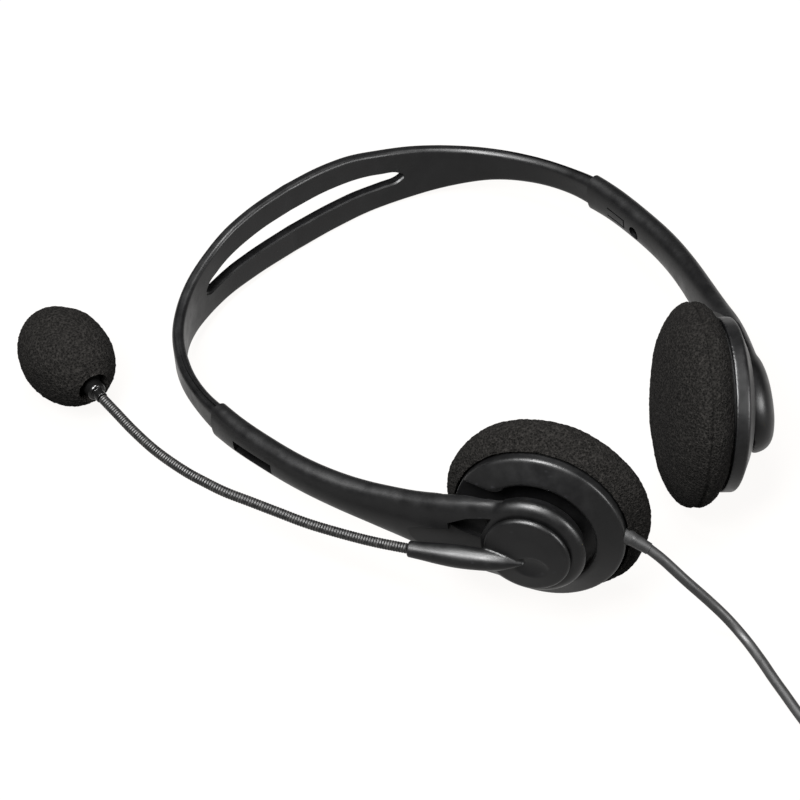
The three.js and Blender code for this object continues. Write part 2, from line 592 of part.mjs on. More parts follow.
function earSet(side, label, tilt) {
  const ear = framed(headset, earMatrix(side));
  const pivot = framed(ear, new THREE.Matrix4().makeTranslation(0, BALL_CENTRE, 0));
  const cup = new THREE.Group();
  pivot.rotation.x = tilt;
  cup.position.y = -BALL_CENTRE;
  pivot.add(cup);
  piece(cup, `${label}_socket_liner`, liner, NYLON);
  piece(cup, `${label}_ear_shell`, earShell(), BLACK);
  piece(cup, `${label}_baffle`, baffle(), INNER);
  piece(cup, `${label}_driver_frame`, driverFrame, INNER);
  piece(cup, `${label}_driver_diaphragm`, diaphragm, FILM);
  piece(cup, `${label}_driver_magnet`, magnet, STEEL);
  piece(cup, `${label}_ear_cushion`, cushion(side), FOAM);
  return cup;
}

armSet(-1, 'left');
armSet(1, 'right');
const leftCup = earSet(-1, 'left', 0);
earSet(1, 'right', RIGHT_TILT);
piece(leftCup, 'cord_strain_relief', cordRelief(), CABLE);

const boom = framed(headset, earMatrix(-1));
piece(boom, 'boom_hub', boomHub(), BLACK);
piece(boom, 'boom_spring_washer', boomWasher, STEEL);
piece(boom, 'boom_screw', boomScrew, STEEL);
const bends = NECK_JOINTS.map((share) => share * NECK_LENGTH);
piece(boom, 'gooseneck_lower', neckStretch(GAP, bends[0] - GAP / 2, false, true), CABLE);
piece(boom, 'gooseneck_middle', neckStretch(bends[0] + GAP / 2, bends[1] - GAP / 2, true, true),
  CABLE);
piece(boom, 'gooseneck_upper', neckStretch(bends[1] + GAP / 2, NECK_LENGTH, true, false), CABLE);
const mic = framed(boom, micMatrix());
piece(mic, 'mic_housing', micHousing, BLACK);
piece(mic, 'mic_capsule', micCapsule, STEEL);
piece(mic, 'mic_windscreen', windscreen, FOAM);

const keepClear = toSolid(coilRing(GAP));
const lead = toSolid(tube(CORD_ROUTE, CORD_R, 32)).subtract(keepClear);
const tail = toSolid(tube(TAIL_ROUTE, CORD_R, 13)).subtract(keepClear);
const largest = (solid) => solid.decompose().sort((a, b) => b.volume() - a.volume())[0];
piece(object, 'cord_lead', largest(lead), CABLE);
piece(object, 'cord_coil', coilRing(), CABLE);
piece(object, 'coil_tie', coilTie(), INNER);
piece(object, 'cord_tail', largest(tail), CABLE);
const plug = framed(object, plugMatrix());
piece(plug, 'plug_strain_relief', plugRelief, CABLE);
piece(plug, 'plug_body', plugBody, BLACK);
piece(plug, 'plug_contacts', plugContacts, GOLD);

// Origin at the bottom centre of the headset, cord left out.
headset.updateMatrixWorld(true);
const bounds = new THREE.Box3().setFromObject(headset, true);
object.position.set(-(bounds.min.x + bounds.max.x) / 2, -(bounds.min.y + bounds.max.y) / 2,
  -bounds.min.z);

export default object;
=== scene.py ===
"""Light stereo headset with a gooseneck microphone, lying on a pale table: the fine surfaces.

Shapes are worked out in millimetres, in the frame of the part they belong to, and are then set
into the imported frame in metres.
"""
import math

import bpy
import numpy as np
from mathutils import Matrix, Vector, noise


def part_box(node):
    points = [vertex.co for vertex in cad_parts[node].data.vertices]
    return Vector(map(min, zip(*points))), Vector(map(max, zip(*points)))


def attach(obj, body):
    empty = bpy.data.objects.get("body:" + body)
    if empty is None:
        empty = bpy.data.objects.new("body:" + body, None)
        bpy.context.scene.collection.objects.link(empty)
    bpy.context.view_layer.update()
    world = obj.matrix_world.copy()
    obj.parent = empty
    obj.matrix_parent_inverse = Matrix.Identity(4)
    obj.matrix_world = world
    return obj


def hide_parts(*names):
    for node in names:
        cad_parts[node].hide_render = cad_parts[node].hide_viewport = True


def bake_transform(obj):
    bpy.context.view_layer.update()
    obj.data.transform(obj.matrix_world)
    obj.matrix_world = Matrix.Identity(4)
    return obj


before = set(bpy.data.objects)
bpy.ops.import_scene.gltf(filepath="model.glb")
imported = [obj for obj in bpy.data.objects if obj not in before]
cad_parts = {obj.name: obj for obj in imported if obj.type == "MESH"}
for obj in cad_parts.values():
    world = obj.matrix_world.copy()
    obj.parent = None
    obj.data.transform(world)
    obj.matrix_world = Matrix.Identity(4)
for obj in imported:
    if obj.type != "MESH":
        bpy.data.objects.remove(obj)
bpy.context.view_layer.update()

# ---- driving dimensions, in millimetres and degrees -----------------------------------------
MM = 0.001
PITCH = -7.09                   # crown end lower than the ear line
ROLL = 2.0                      # right side lower than the left
REST_HEIGHT = 26.8              # middle of the ear line above the table
GAP = 0.3

# Centre line of the right half of the headband and arm, crown first.
SIDE_LINE = [
    (0, 143.6), (14.8, 142.7), (28.6, 140.6), (42.2, 134.9), (53.5, 125.4), (61.3, 112.6),
    (65.4, 99.1), (66.6, 86), (65.9, 72.3), (64.3, 60), (61.2, 47.7), (54.5, 29.5), (48.4, 15.4),
    (43.9, 6.4), (38.9, -2.2),
]
SEAM = 95                       # distance along the line from the crown to the arm's end
# How far the line rises above the flat of the headset, by distance from the crown.
RISE = [(0, 2.2), (10, 2.3), (20, 1.9), (30, 0.8), (40, 0.2), (50, 0.1), (70, 1.0),
        (SEAM, 1.8), (112, 1.6), (130, 1.1), (145, 0.5), (165, 0)]
BAND_WIDTH = [(0, 22.5), (10, 22.1), (20, 20.9), (30, 18.5), (38, 16.6), (46, 14.3), (54, 12.0),
              (62, 10.0), (70, 8.8), (78, 8.2), (86, 8.0), (SEAM, 8.6)]
BAND_THICK = [(0, 3.0), (35, 3.1), (70, 3.4), (84, 3.5), (SEAM, 4.2)]
SLOT_HALF_LENGTH = 36.5
SLOT_HALF_WIDTH = [(0, 3.45), (10, 3.4), (20, 3.0), (30, 2.2), (35, 1.3), (36.5, 0.3)]
TONGUE_LENGTH = 34
TONGUE_WIDTH = 5.2
TONGUE_THICK = 1.4
TOOTH_PITCH = 1.5
ARM_HALF_HEIGHT = [(0, 5.5), (10, 5.1), (25, 4.9), (35, 5.1), (45, 5.6), (52, 6.2), (58, 7.0),
                   (66, 8.2), (75, 10.1), (82, 11.6), (90, 12.8), (98, 13.3)]
ARM_HALF_THICK = [(0, 3.0), (10, 3.2), (25, 3.3), (45, 3.3), (65, 3.5), (75, 3.9), (85, 3.5),
                  (98, 3.1)]

EAR = (33.4, 1.2)               # centre of the right shell's outer rim; the left one mirrors it
EAR_TURN = 32                   # how far each ear piece faces towards the crown
SHELL_R = 23.1
RECESS_R = 16.0
RECESS_FLOOR = -0.6
NOTCH_HALF_WIDTH = 12.3
POD_R = 13.8
POD_FLOOR = 3.6
POD_TOP = 9.6
CUSHION_R = 27.5
CUSHION_HALF_THICK = 9.9
CUSHION_MIDDLE = -10
LEFT_SEAT = 1.3                 # the left pad is pushed this much further on to its shell
BALL_CENTRE = -0.4
RIGHT_TILT = 10.5
KNOB_R = 11.6
KNOB_FACE = 11.6
GOOSENECK_R = 1.4
# Gooseneck centre line in the left ear frame: towards the crown, outwards, through the band.
GOOSENECK = [
    (31.4, 13.2, -2.2), (41.9, 11.4, -3.4), (52.5, 9.3, -4.1), (61.7, 7.3, -4.4),
    (70.1, 5.2, -4.2), (78.3, 3.1, -4.0), (86.2, 1.1, -3.8), (92.8, -1.3, -3.6),
    (98.8, -3.8, -3.4), (108.8, -9.2, -3.0), (117.2, -14.8, -2.2), (124.6, -20.4, -1.3),
    (129.2, -23.8, -0.6),
]
NECK_JOINTS = (0.34, 0.7)
MIC = (143.8, -35.9, 1.4)
WINDSCREEN_R = 12.5

CORD_R = 1.4
# Cord from its strain relief down to the table and away, measured on the table.
CORD_ROUTE = [
    (-16.7, -22.8, 26.4), (-15.4, -25.7, 24.4), (-13.8, -28.7, 21.3), (-11.9, -31.5, 17.6),
    (-9.8, -34.0, 13.8), (-7.8, -36.3, 10.1), (-6.2, -38.8, 6.9), (-5.2, -41.5, 4.4),
    (-4.8, -44.5, 2.6), (-5.0, -47.8, 1.7), (-5.7, -51.4, 1.4), (-6.6, -55.0, 1.4),
    (-8.0, -60.0, 1.4), (-9.5, -66.0, 1.4), (-11.5, -74.0, 1.4), (-13.1, -82.0, 1.4),
    (-13.9, -91.0, 1.4), (-13.0, -101.5, 1.4),
]
COIL_CENTRE = (8.0, -97.2)
COIL_BOTTOM = 1.1
TIE_ANGLE = 40
TAIL_ROUTE = [
    (8.0, -118.6, 9.9), (14.0, -118.6, 9.4), (20.0, -118.3, 7.7), (26.0, -117.4, 5.4),
    (31.8, -115.6, 3.2), (37.2, -112.8, 1.9), (41.0, -108.6, 1.9), (43.4, -103.8, 3.2),
    (44.8, -99.0, 4.0),
]
PLUG_START = (44.9, -98.7, 4.0)
PLUG_DIRECTION = (0.28, 0.96, 0)

# ---- curves and tables ----------------------------------------------------------------------


class Line:
    """A smooth line through points, with places on it given by the distance from its start."""

    def __init__(self, points, fine=40):
        p = [np.array(q, float) for q in points]
        p = [2 * p[0] - p[1], *p, 2 * p[-1] - p[-2]]
        dense = [p[1]]
        for i in range(1, len(p) - 2):
            dense += [self.between(p[i - 1:i + 3], (k + 1) / fine) for k in range(fine)]
        self.points = np.array(dense)
        steps = np.linalg.norm(np.diff(self.points, axis=0), axis=1)
        self.distance = np.concatenate([[0], np.cumsum(steps)])
        self.length = self.distance[-1]

    @staticmethod
    def between(p, t):
        """Centripetal Catmull-Rom point between p[1] and p[2]."""
        d = [max(np.linalg.norm(p[k + 1] - p[k]) ** 0.5, 1e-4) for k in range(3)]
        start = (p[1] - p[0]) / d[0] - (p[2] - p[0]) / (d[0] + d[1]) + (p[2] - p[1]) / d[1]
        end = (p[2] - p[1]) / d[1] - (p[3] - p[1]) / (d[1] + d[2]) + (p[3] - p[2]) / d[2]
        start, end = start * d[1], end * d[1]
        cubic = 2 * p[1] - 2 * p[2] + start + end
        square = -3 * p[1] + 3 * p[2] - 2 * start - end
        return p[1] + start * t + square * t ** 2 + cubic * t ** 3

    def at(self, distance):
        return np.array([np.interp(distance, self.distance, column) for column in self.points.T])

    def tangent(self, distance, reach=0.8):
        low = max(distance - reach, 0)
        high = min(distance + reach, self.length)
        step = self.at(high) - self.at(low)
        return step / np.linalg.norm(step)


def look_up(table, x):
    """A value from a table of (place, value) rows, with a smooth line through the rows."""
    xs, ys = zip(*table)
    if x <= xs[0]:
        return ys[0]
    if x >= xs[-1]:
        return ys[-1]
    slopes = np.gradient(ys, xs)
    i = int(np.searchsorted(xs, x, side="right")) - 1
    width = xs[i + 1] - xs[i]
    t = (x - xs[i]) / width
    return ((2 * t ** 3 - 3 * t ** 2 + 1) * ys[i] + (t ** 3 - 2 * t ** 2 + t) * width * slopes[i]
            + (3 * t ** 2 - 2 * t ** 3) * ys[i + 1] + (t ** 3 - t ** 2) * width * slopes[i + 1])


def arc(cx, cy, rx, ry, start, stop, steps):
    angles = np.radians(np.linspace(start, stop, steps + 1))
    return [(cx + rx * math.cos(a), cy + ry * math.sin(a)) for a in angles]


def filleted(profile, radius, steps=4):
    """The profile with each corner rounded, as far as its neighbours leave room."""
    out = [profile[0]]
    for before, corner, after in zip(profile, profile[1:], profile[2:]):
        b, c, a = (np.array(p, float) for p in (before, corner, after))
        back, on = b - c, a - c
        room = min(radius, 0.45 * np.linalg.norm(back), 0.45 * np.linalg.norm(on))
        p = c + back / np.linalg.norm(back) * room
        q = c + on / np.linalg.norm(on) * room
        for k in range(steps + 1):
            t = k / steps
            out.append(tuple(p * (1 - t) ** 2 + 2 * c * t * (1 - t) + q * t ** 2))
    out.append(profile[-1])
    return out


# ---- frames ---------------------------------------------------------------------------------
coil_low, coil_high = (np.array(corner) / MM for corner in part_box("cord_coil"))
coil_middle = (coil_low + coil_high) / 2
TABLE_SHIFT = Vector((coil_middle[0] - COIL_CENTRE[0], coil_middle[1] - COIL_CENTRE[1],
                      coil_low[2] - COIL_BOTTOM))
TABLE = Matrix.Translation(TABLE_SHIFT)
HEADSET = (TABLE @ Matrix.Translation((0, 0, REST_HEIGHT))
           @ Matrix.Rotation(math.radians(PITCH), 4, "X")
           @ Matrix.Rotation(math.radians(ROLL), 4, "Y"))


def basis(x_axis, y_axis, origin):
    """A frame from its first two axes and its origin."""
    x_axis, y_axis = Vector(x_axis), Vector(y_axis)
    matrix = Matrix((x_axis, y_axis, x_axis.cross(y_axis))).transposed().to_4x4()
    matrix.translation = origin
    return matrix


def ear_frame(side):
    """x towards the crown, y outwards along the ear axis, origin at the shell's rim."""
    c, s = math.cos(math.radians(EAR_TURN)), math.sin(math.radians(EAR_TURN))
    return basis((side * s, c, 0), (side * c, -s, 0), (side * EAR[0], EAR[1], 0))


def turned_to(direction, origin):
    """A frame at origin whose y axis points along direction."""
    matrix = Vector((0, 1, 0)).rotation_difference(Vector(direction)).to_matrix().to_4x4()
    matrix.translation = origin
    return matrix


side_line = Line([(x, y, 0) for x, y in SIDE_LINE])
ARM_START = SEAM + GAP / 2


def on_line(distance):
    """A point of the band's line; the left half mirrors the right one."""
    x, y, _ = side_line.at(min(abs(distance), side_line.length))
    return np.array((math.copysign(x, distance), y, look_up(RISE, abs(distance))))


def along(distance):
    """Point on the band's line, and the outward normal there."""
    low = max(distance - 0.8, -side_line.length)
    high = min(distance + 0.8, side_line.length)
    x, y = (on_line(high) - on_line(low))[:2]
    return on_line(distance), np.array((-y, x, 0)) / math.hypot(x, y)


def strip_point(distance, across, out):
    """A point beside the band's line: across its width, and out from the head."""
    point, normal = along(distance)
    return point + normal * out + np.array((0, 0, across))


LEFT_EAR = HEADSET @ ear_frame(-1)


def slide_frame(side):
    """x along the tongue, y away from the head, origin at the arm's end."""
    start = along(side * (SEAM + GAP))[0]
    end = along(side * (SEAM + TONGUE_LENGTH))[0]
    forward = Vector(end - start).normalized()
    out = Vector((0, 0, 1)).cross(forward).normalized() * side
    return basis(forward, out, Vector(start))


# ---- meshes ---------------------------------------------------------------------------------
def new_object(name, points, faces):
    """An object in the scene from bare points and faces."""
    mesh = bpy.data.meshes.new(name)
    mesh.from_pydata([tuple(map(float, p)) for p in points], [], faces)
    mesh.update()
    obj = bpy.data.objects.new(name, mesh)
    bpy.context.scene.collection.objects.link(obj)
    return obj


def face_outwards(obj):
    """Turns every face outwards; the mesh is one closed body."""
    mesh = obj.data
    points = np.array([v.co for v in mesh.vertices])
    volume = 0
    for face in mesh.polygons:
        ring = points[list(face.vertices)]
        fan = np.cross(ring[1:-1] - ring[0], ring[2:] - ring[0])
        volume += float((fan @ ring[0]).sum())
    if volume < 0:
        mesh.flip_normals()
    return obj


def loft(name, rings, closed=False):
    """A skin over rings of points, with flat ends unless it closes on itself."""
    rings = np.array(rings, float)
    count, around = rings.shape[:2]
    faces = []
    for i in range(count if closed else count - 1):
        a, b = i * around, ((i + 1) % count) * around
        for k in range(around):
            n = (k + 1) % around
            faces.append((a + k, a + n, b + n, b + k))
    if not closed:
        faces.append(tuple(reversed(range(around))))
        faces.append(tuple(range((count - 1) * around, count * around)))
    return face_outwards(new_object(name, rings.reshape(-1, 3), faces))


def spin(name, profile, segments=96):
    """A body of revolution round y: profile rows are (radius, y), on the axis or closed."""
    loop = profile[0] == profile[-1]
    rows = profile[:-1] if loop else profile
    points, index = [], []
    for radius, y in rows:
        start = len(points)
        if radius < 1e-6:
            points.append((0, y, 0))
            index.append([start] * segments)
            continue
        for k in range(segments):
            a = 2 * math.pi * k / segments
            points.append((radius * math.cos(a), y, radius * math.sin(a)))
        index.append(range(start, start + segments))
    faces = []
    for i in range(len(rows) if loop else len(rows) - 1):
        one, two = index[i], index[(i + 1) % len(rows)]
        for k in range(segments):
            n = (k + 1) % segments
            corners = dict.fromkeys((one[k], one[n], two[n], two[k]))
            if len(corners) > 2:
                faces.append(tuple(corners))
    return face_outwards(new_object(name, points, faces))


def block(x0, x1, y0, y1, z0, z1):
    """A box between two places on each axis."""
    points = [(x, y, z) for x in (x0, x1) for y in (y0, y1) for z in (z0, z1)]
    faces = [(0, 1, 3, 2), (4, 6, 7, 5), (0, 4, 5, 1), (2, 3, 7, 6), (0, 2, 6, 4), (1, 5, 7, 3)]
    return face_outwards(new_object("block", points, faces))


def prism(outline, y0, y1):
    """An outline of (x, z) points drawn out along y."""
    return loft("prism", [[(x, y, z) for x, z in outline] for y in (y0, y1)])


def rod(radius, y0, y1, x=0.0, z=0.0, segments=32):
    """A cylinder along y."""
    angles = [2 * math.pi * k / segments for k in range(segments)]
    return prism([(x + radius * math.cos(a), z + radius * math.sin(a)) for a in angles], y0, y1)


def moved(obj, matrix):
    """Moves the mesh itself; a mirroring matrix leaves its faces outwards."""
    obj.data.transform(matrix)
    if matrix.determinant() < 0:
        obj.data.flip_normals()
    return obj


def settled(obj):
    """Turns the modifiers of an object into its mesh."""
    graph = bpy.context.evaluated_depsgraph_get()
    mesh = bpy.data.meshes.new_from_object(obj.evaluated_get(graph))
    obj.modifiers.clear()
    obj.data = mesh


def combined(obj, others, operation):
    """Joins, cuts or intersects obj with each of the others, which are used up."""
    for other in others:
        step = obj.modifiers.new("join", "BOOLEAN")
        step.operation = operation
        step.solver = "EXACT"
        step.object = other
        settled(obj)
        bpy.data.objects.remove(other)
    return obj


def softened(obj, voxel, passes):
    """One even skin over a joined body, with its corners and joins rounded as a moulding has."""
    remesh = obj.modifiers.new("skin", "REMESH")
    remesh.mode = "VOXEL"
    remesh.voxel_size = voxel
    smooth = obj.modifiers.new("round", "SMOOTH")
    smooth.factor = 0.5
    smooth.iterations = passes
    settled(obj)


def rounded_section(half_a, half_b, radius, per_corner=5, per_side=5):
    """Points round a rectangle with rounded corners."""
    r = min(radius, half_a, half_b)
    corners = []
    for quarter in range(4):
        sign_a = 1 if quarter in (0, 3) else -1
        sign_b = 1 if quarter < 2 else -1
        for k in range(per_corner):
            a = math.radians(90 * quarter + 90 * k / (per_corner - 1))
            corners.append((sign_a * (half_a - r) + r * math.cos(a),
                            sign_b * (half_b - r) + r * math.sin(a)))
    out = []
    for k, (one, two) in enumerate(zip(corners, corners[1:] + corners[:1])):
        out.append(one)
        if k % per_corner == per_corner - 1:
            for j in range(1, per_side):
                t = j / per_side
                out.append((one[0] * (1 - t) + two[0] * t, one[1] * (1 - t) + two[1] * t))
    return out


def oval_section(half_a, half_b, count=48, power=2.5):
    """Points round a superellipse, which is boxier than an ellipse."""
    out = []
    for k in range(count):
        a = 2 * math.pi * (k + 0.5) / count
        c, s = math.cos(a), math.sin(a)
        reach = (abs(c) ** power + abs(s) ** power) ** (-1 / power)
        out.append((half_a * reach * c, half_b * reach * s))
    return out


def roughened(obj, size, depth, seed):
    """Moves each point along its normal, mostly inwards, by smooth noise of this grain size."""
    mesh = obj.data
    shift = Vector([seed * step for step in (17.3, 5.1, 9.7)])
    inwards = 0.5
    moves = []
    for vertex in mesh.vertices:
        bump = noise.noise(vertex.co / size + shift) - inwards
        moves.append(vertex.co + vertex.normal * (bump * depth))
    for vertex, place in zip(mesh.vertices, moves):
        vertex.co = place
    mesh.update()


def foam_skin(obj, lump_size, lump_depth, seeds):
    """Shallow lumps, with two sizes of grain over them."""
    for size, depth, seed in zip((lump_size, 1.2, 0.55), (lump_depth, 0.16, 0.16), seeds):
        roughened(obj, size, depth, seed)


# ---- materials ------------------------------------------------------------------------------
class Shader:
    """A procedural material under construction; its texture space is the part's own, in metres."""

    def __init__(self, name, roughness, **fixed):
        self.material = bpy.data.materials.new(name)
        self.material.use_nodes = True
        self.tree = self.material.node_tree
        self.surface = self.tree.nodes["Principled BSDF"]
        self.surface.inputs["Roughness"].default_value = roughness
        for socket, value in fixed.items():
            self.surface.inputs[socket.replace("_", " ")].default_value = value
        self.space = self.node("ShaderNodeTexCoord").outputs["Object"]

    def node(self, kind, **inputs):
        made = self.tree.nodes.new(kind)
        for socket, value in inputs.items():
            self.feed(made.inputs[socket.replace("_", " ")], value)
        return made

    def feed(self, socket, value):
        if isinstance(value, bpy.types.NodeSocket):
            self.tree.links.new(value, socket)
        else:
            socket.default_value = value

    def noise(self, size_mm, detail=2.0, roughness=0.5):
        made = self.node("ShaderNodeTexNoise", Vector=self.space, Scale=1 / (size_mm * MM),
                         Detail=detail, Roughness=roughness)
        return made.outputs["Fac"]

    def cells(self, size_mm):
        """The distance to the middle of the nearest cell."""
        made = self.node("ShaderNodeTexVoronoi", Vector=self.space, Scale=1 / (size_mm * MM))
        return made.outputs["Distance"]

    def ramp(self, value, low, high, from_low=0.0, from_high=1.0):
        """The value spread from one range over another, and held at its ends."""
        made = self.node("ShaderNodeMapRange", Value=value, From_Min=from_low,
                         From_Max=from_high, To_Min=low, To_Max=high)
        return made.outputs["Result"]

    def colours(self, value, dark, light):
        """A mix of two colours, either of which may be another node's output."""
        made = self.node("ShaderNodeMix")
        made.data_type = "RGBA"
        self.feed(made.inputs["Factor"], value)
        ends = [socket for socket in made.inputs if socket.type == "RGBA"]
        for socket, end in zip(ends, (dark, light)):
            self.feed(socket, end if isinstance(end, bpy.types.NodeSocket) else (*end, 1))
        return next(socket for socket in made.outputs if socket.type == "RGBA")

    def sum_of(self, one, two, operation="ADD"):
        made = self.node("ShaderNodeMath")
        made.operation = operation
        self.feed(made.inputs[0], one)
        self.feed(made.inputs[1], two)
        return made.outputs[0]

    def product_of(self, one, two):
        return self.sum_of(one, two, "MULTIPLY")

    def colour(self, value):
        self.feed(self.surface.inputs["Base Color"], value)

    def roughness(self, value):
        self.feed(self.surface.inputs["Roughness"], value)

    def bump(self, height, distance_mm, strength=1.0):
        made = self.node("ShaderNodeBump", Height=height, Strength=strength,
                         Distance=distance_mm * MM)
        self.feed(self.surface.inputs["Normal"], made.outputs["Normal"])

    def edge_wear(self, low=0.52, high=0.6):
        """From 0 to 1 on raised edges, broken up so that it isn't an even line."""
        pointed = self.node("ShaderNodeNewGeometry").outputs["Pointiness"]
        edges = self.ramp(pointed, 0, 1, low, high)
        return self.product_of(edges, self.ramp(self.noise(1.5, 4), 0, 1, 0.42, 0.62))


def grey(value, blue=1.0):
    return (value, value, value * blue)


def moulded(name, dark, light, rough, grain_mm, depth_mm, wear=True):
    """Moulded plastic with a fine spark-eroded grain, faint cloudiness and rubbed edges."""
    shader = Shader(name, rough, Specular_IOR_Level=0.16)
    tone = shader.colours(shader.noise(14, 3), dark, light)
    if wear:
        tone = shader.colours(shader.edge_wear(), tone, tuple(3 * c for c in light))
    shader.colour(tone)
    fine = shader.noise(grain_mm, 2, 0.6)
    shader.roughness(shader.ramp(shader.noise(5, 5, 0.65), rough - 0.07, rough + 0.08, 0.3, 0.7))
    shader.bump(fine, depth_mm)
    return shader.material


def foam(name, pore_mm, dark, light):
    """Open-cell foam: dark pores between pale, fuzzy strands."""
    shader = Shader(name, 1.0, Specular_IOR_Level=0.02)
    large = shader.ramp(shader.cells(pore_mm), 0, 0.7, 0.12, 0.8)
    small = shader.ramp(shader.cells(pore_mm * 0.5), 0, 0.3, 0.1, 0.8)
    blotch = shader.ramp(shader.noise(pore_mm * 1.3, 3, 0.7), 0.35, 1.0, 0.35, 0.65)
    strands = shader.sum_of(large, small)
    shader.colour(shader.colours(shader.product_of(strands, blotch), dark, light))
    shader.bump(strands, 0.3)
    return shader.material


def sleeve(name):
    """Matt cable jacket with a fine grain and faint dust."""
    shader = Shader(name, 0.5, Specular_IOR_Level=0.25)
    shader.colour(shader.colours(shader.noise(9, 4), (0.0018, 0.0018, 0.0019), grey(0.0036)))
    shader.roughness(shader.ramp(shader.noise(2.5, 5), 0.42, 0.6, 0.3, 0.7))
    shader.bump(shader.noise(0.22, 3, 0.6), 0.02)
    return shader.material


def neck_sleeve(name):
    """Ribbed sleeve: the crests are coloured a little paler than the grooves."""
    shader = Shader(name, 0.42, Specular_IOR_Level=0.15)
    # the mask is 1 on the rib crests, which get the paler colour; the grooves keep the darker one
    crest_mask = shader.edge_wear(0.5, 0.56)
    shader.colour(shader.colours(crest_mask, grey(0.0012), (0.009, 0.0086, 0.0082)))
    shader.roughness(shader.ramp(shader.noise(3, 4), 0.36, 0.5, 0.3, 0.7))
    shader.bump(shader.noise(0.25, 2), 0.01)
    return shader.material


def metal(name, colour, rough):
    """Drawn metal with fine scratches."""
    shader = Shader(name, rough, Metallic=1.0)
    darker = tuple(c * 0.82 for c in colour)
    shader.colour(shader.colours(shader.noise(3, 4), darker, colour))
    shader.roughness(shader.ramp(shader.noise(0.6, 5), rough - 0.06, rough + 0.1, 0.3, 0.7))
    shader.bump(shader.noise(0.12, 3), 0.004)
    return shader.material


def woven(name):
    """Short looped pile of a fabric tie."""
    shader = Shader(name, 0.95, Sheen_Weight=0.03, Specular_IOR_Level=0.1)
    loops = shader.cells(0.45)
    shader.colour(shader.colours(loops, grey(0.006), grey(0.0016)))
    shader.bump(loops, 0.2, 0.8)
    return shader.material


# Base colours are darker than the real materials': they suit strong lights and a glowing table.
SATIN = moulded("satin_black", grey(0.0004), grey(0.0008, 1.125), rough=0.4, grain_mm=0.16,
                depth_mm=0.006)
INNER = moulded("inner_black", grey(0.003), grey(0.005), rough=0.55, grain_mm=0.3,
                depth_mm=0.02, wear=False)
GLOSSY = moulded("glossy_black", grey(0.0008), grey(0.0012), rough=0.2, grain_mm=0.4,
                 depth_mm=0.003, wear=False)
FOAM = foam("charcoal_foam", 0.6, grey(0.0001), (0.0062, 0.0058, 0.0054))
SLEEVE = sleeve("cable_jacket")
NECK_SLEEVE = neck_sleeve("gooseneck_ribs")
PLUG_GRIP = moulded("plug_grip", grey(0.002), grey(0.003), rough=0.45, grain_mm=0.2,
                    depth_mm=0.012)
NYLON = moulded("natural_nylon", (0.1, 0.096, 0.085), (0.12, 0.115, 0.104), rough=0.45,
                grain_mm=0.3, depth_mm=0.01, wear=False)
FILM = moulded("driver_film", (0.05, 0.053, 0.057), (0.065, 0.068, 0.072), rough=0.3,
               grain_mm=1.2, depth_mm=0.01, wear=False)
STEEL = metal("drawn_steel", (0.58, 0.59, 0.6), 0.3)
GOLD = metal("gold_plate", (0.83, 0.62, 0.26), 0.2)
TIE = woven("tie_pile")


# ---- putting pieces in place ----------------------------------------------------------------
def place(obj, name, matrix, body, material, slot, nodes, sharp=35):
    """Sets a piece made in millimetres into the frame, on its body, in place of its CAD nodes."""
    obj.name = obj.data.name = name
    moved(obj, Matrix.Scale(MM, 4) @ matrix)
    obj.data.materials.clear()
    obj.data.materials.append(material)
    obj.data.shade_smooth()
    obj.data.set_sharp_from_angle(angle=math.radians(sharp))
    if body:
        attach(obj, body)
    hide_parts(*nodes)
    return obj


# ---- camera ---------------------------------------------------------------------------------
CAMERA_AZIMUTH = -38.71
CAMERA_ELEVATION = 47.58
CAMERA_ROLL = -2.65
CAMERA_DISTANCE = 1472.3
CAMERA_TARGET = (-30.53, 59.69, 26.73)    # from the table's own origin
CAMERA_LENS = 251.46


def make_camera():
    """A long lens that looks at the target from its azimuth and elevation, slightly rolled."""
    az, el = math.radians(CAMERA_AZIMUTH), math.radians(CAMERA_ELEVATION)
    back = Vector((math.sin(az) * math.cos(el), -math.cos(az) * math.cos(el), math.sin(el)))
    right = Vector((math.cos(az), math.sin(az), 0))
    level = basis(right, back.cross(right), (0, 0, 0))
    data = bpy.data.cameras.new("camera")
    data.lens = CAMERA_LENS
    data.sensor_width = 36          # millimetres
    data.clip_start, data.clip_end = 0.05, 20
    camera = bpy.data.objects.new("camera", data)
    turn = level @ Matrix.Rotation(math.radians(CAMERA_ROLL), 4, "Z")
    turn.translation = (TABLE_SHIFT + Vector(CAMERA_TARGET) + back * CAMERA_DISTANCE) * MM
    camera.matrix_world = turn
    bpy.context.scene.collection.objects.link(camera)
    bpy.context.scene.camera = camera


make_camera()


# ---- cord -----------------------------------------------------------------------------------
# where the cord comes to the coil, as an angle round it
COIL_START = math.atan2(CORD_ROUTE[-1][1] - COIL_CENTRE[1], CORD_ROUTE[-1][0] - COIL_CENTRE[0])


def coil_points(turns_on_top):
    """Turns laid beside and on each other, from the bottom outer one to the top outer one."""
    # each layer: height, first radius, last radius, number of turns
    layers = [(2.5, 21.4, 9.9, 5), (5.0, 11.35, 20.05, 4), (7.5, 21.4, 9.9, 5),
              (9.9, 11.35, 21.4, turns_on_top)]
    per_turn = 20
    total = sum(layer[3] for layer in layers)
    # place, height and radius at the ends of each layer, with a short climb between two layers
    places, heights, radii = [-0.001], [CORD_ROUTE[-1][2]], [21.4]
    done = 0.0
    climb = 0.12
    for height, first, last, turns in layers:
        places += [done + climb, done + turns - climb]
        heights += [height, height]
        radii += [first, last]
        done += turns
    steps = round(total * per_turn)
    points = []
    for k in range(1, steps):
        turn = total * k / steps
        a = COIL_START + 2 * math.pi * turn
        r = np.interp(turn, places, radii)
        z = np.interp(turn, places, heights)
        points.append((COIL_CENTRE[0] + r * math.cos(a), COIL_CENTRE[1] + r * math.sin(a), z))
    return points


CORD_START = (-17.4, -21.2, 27.5)       # inside the strain relief


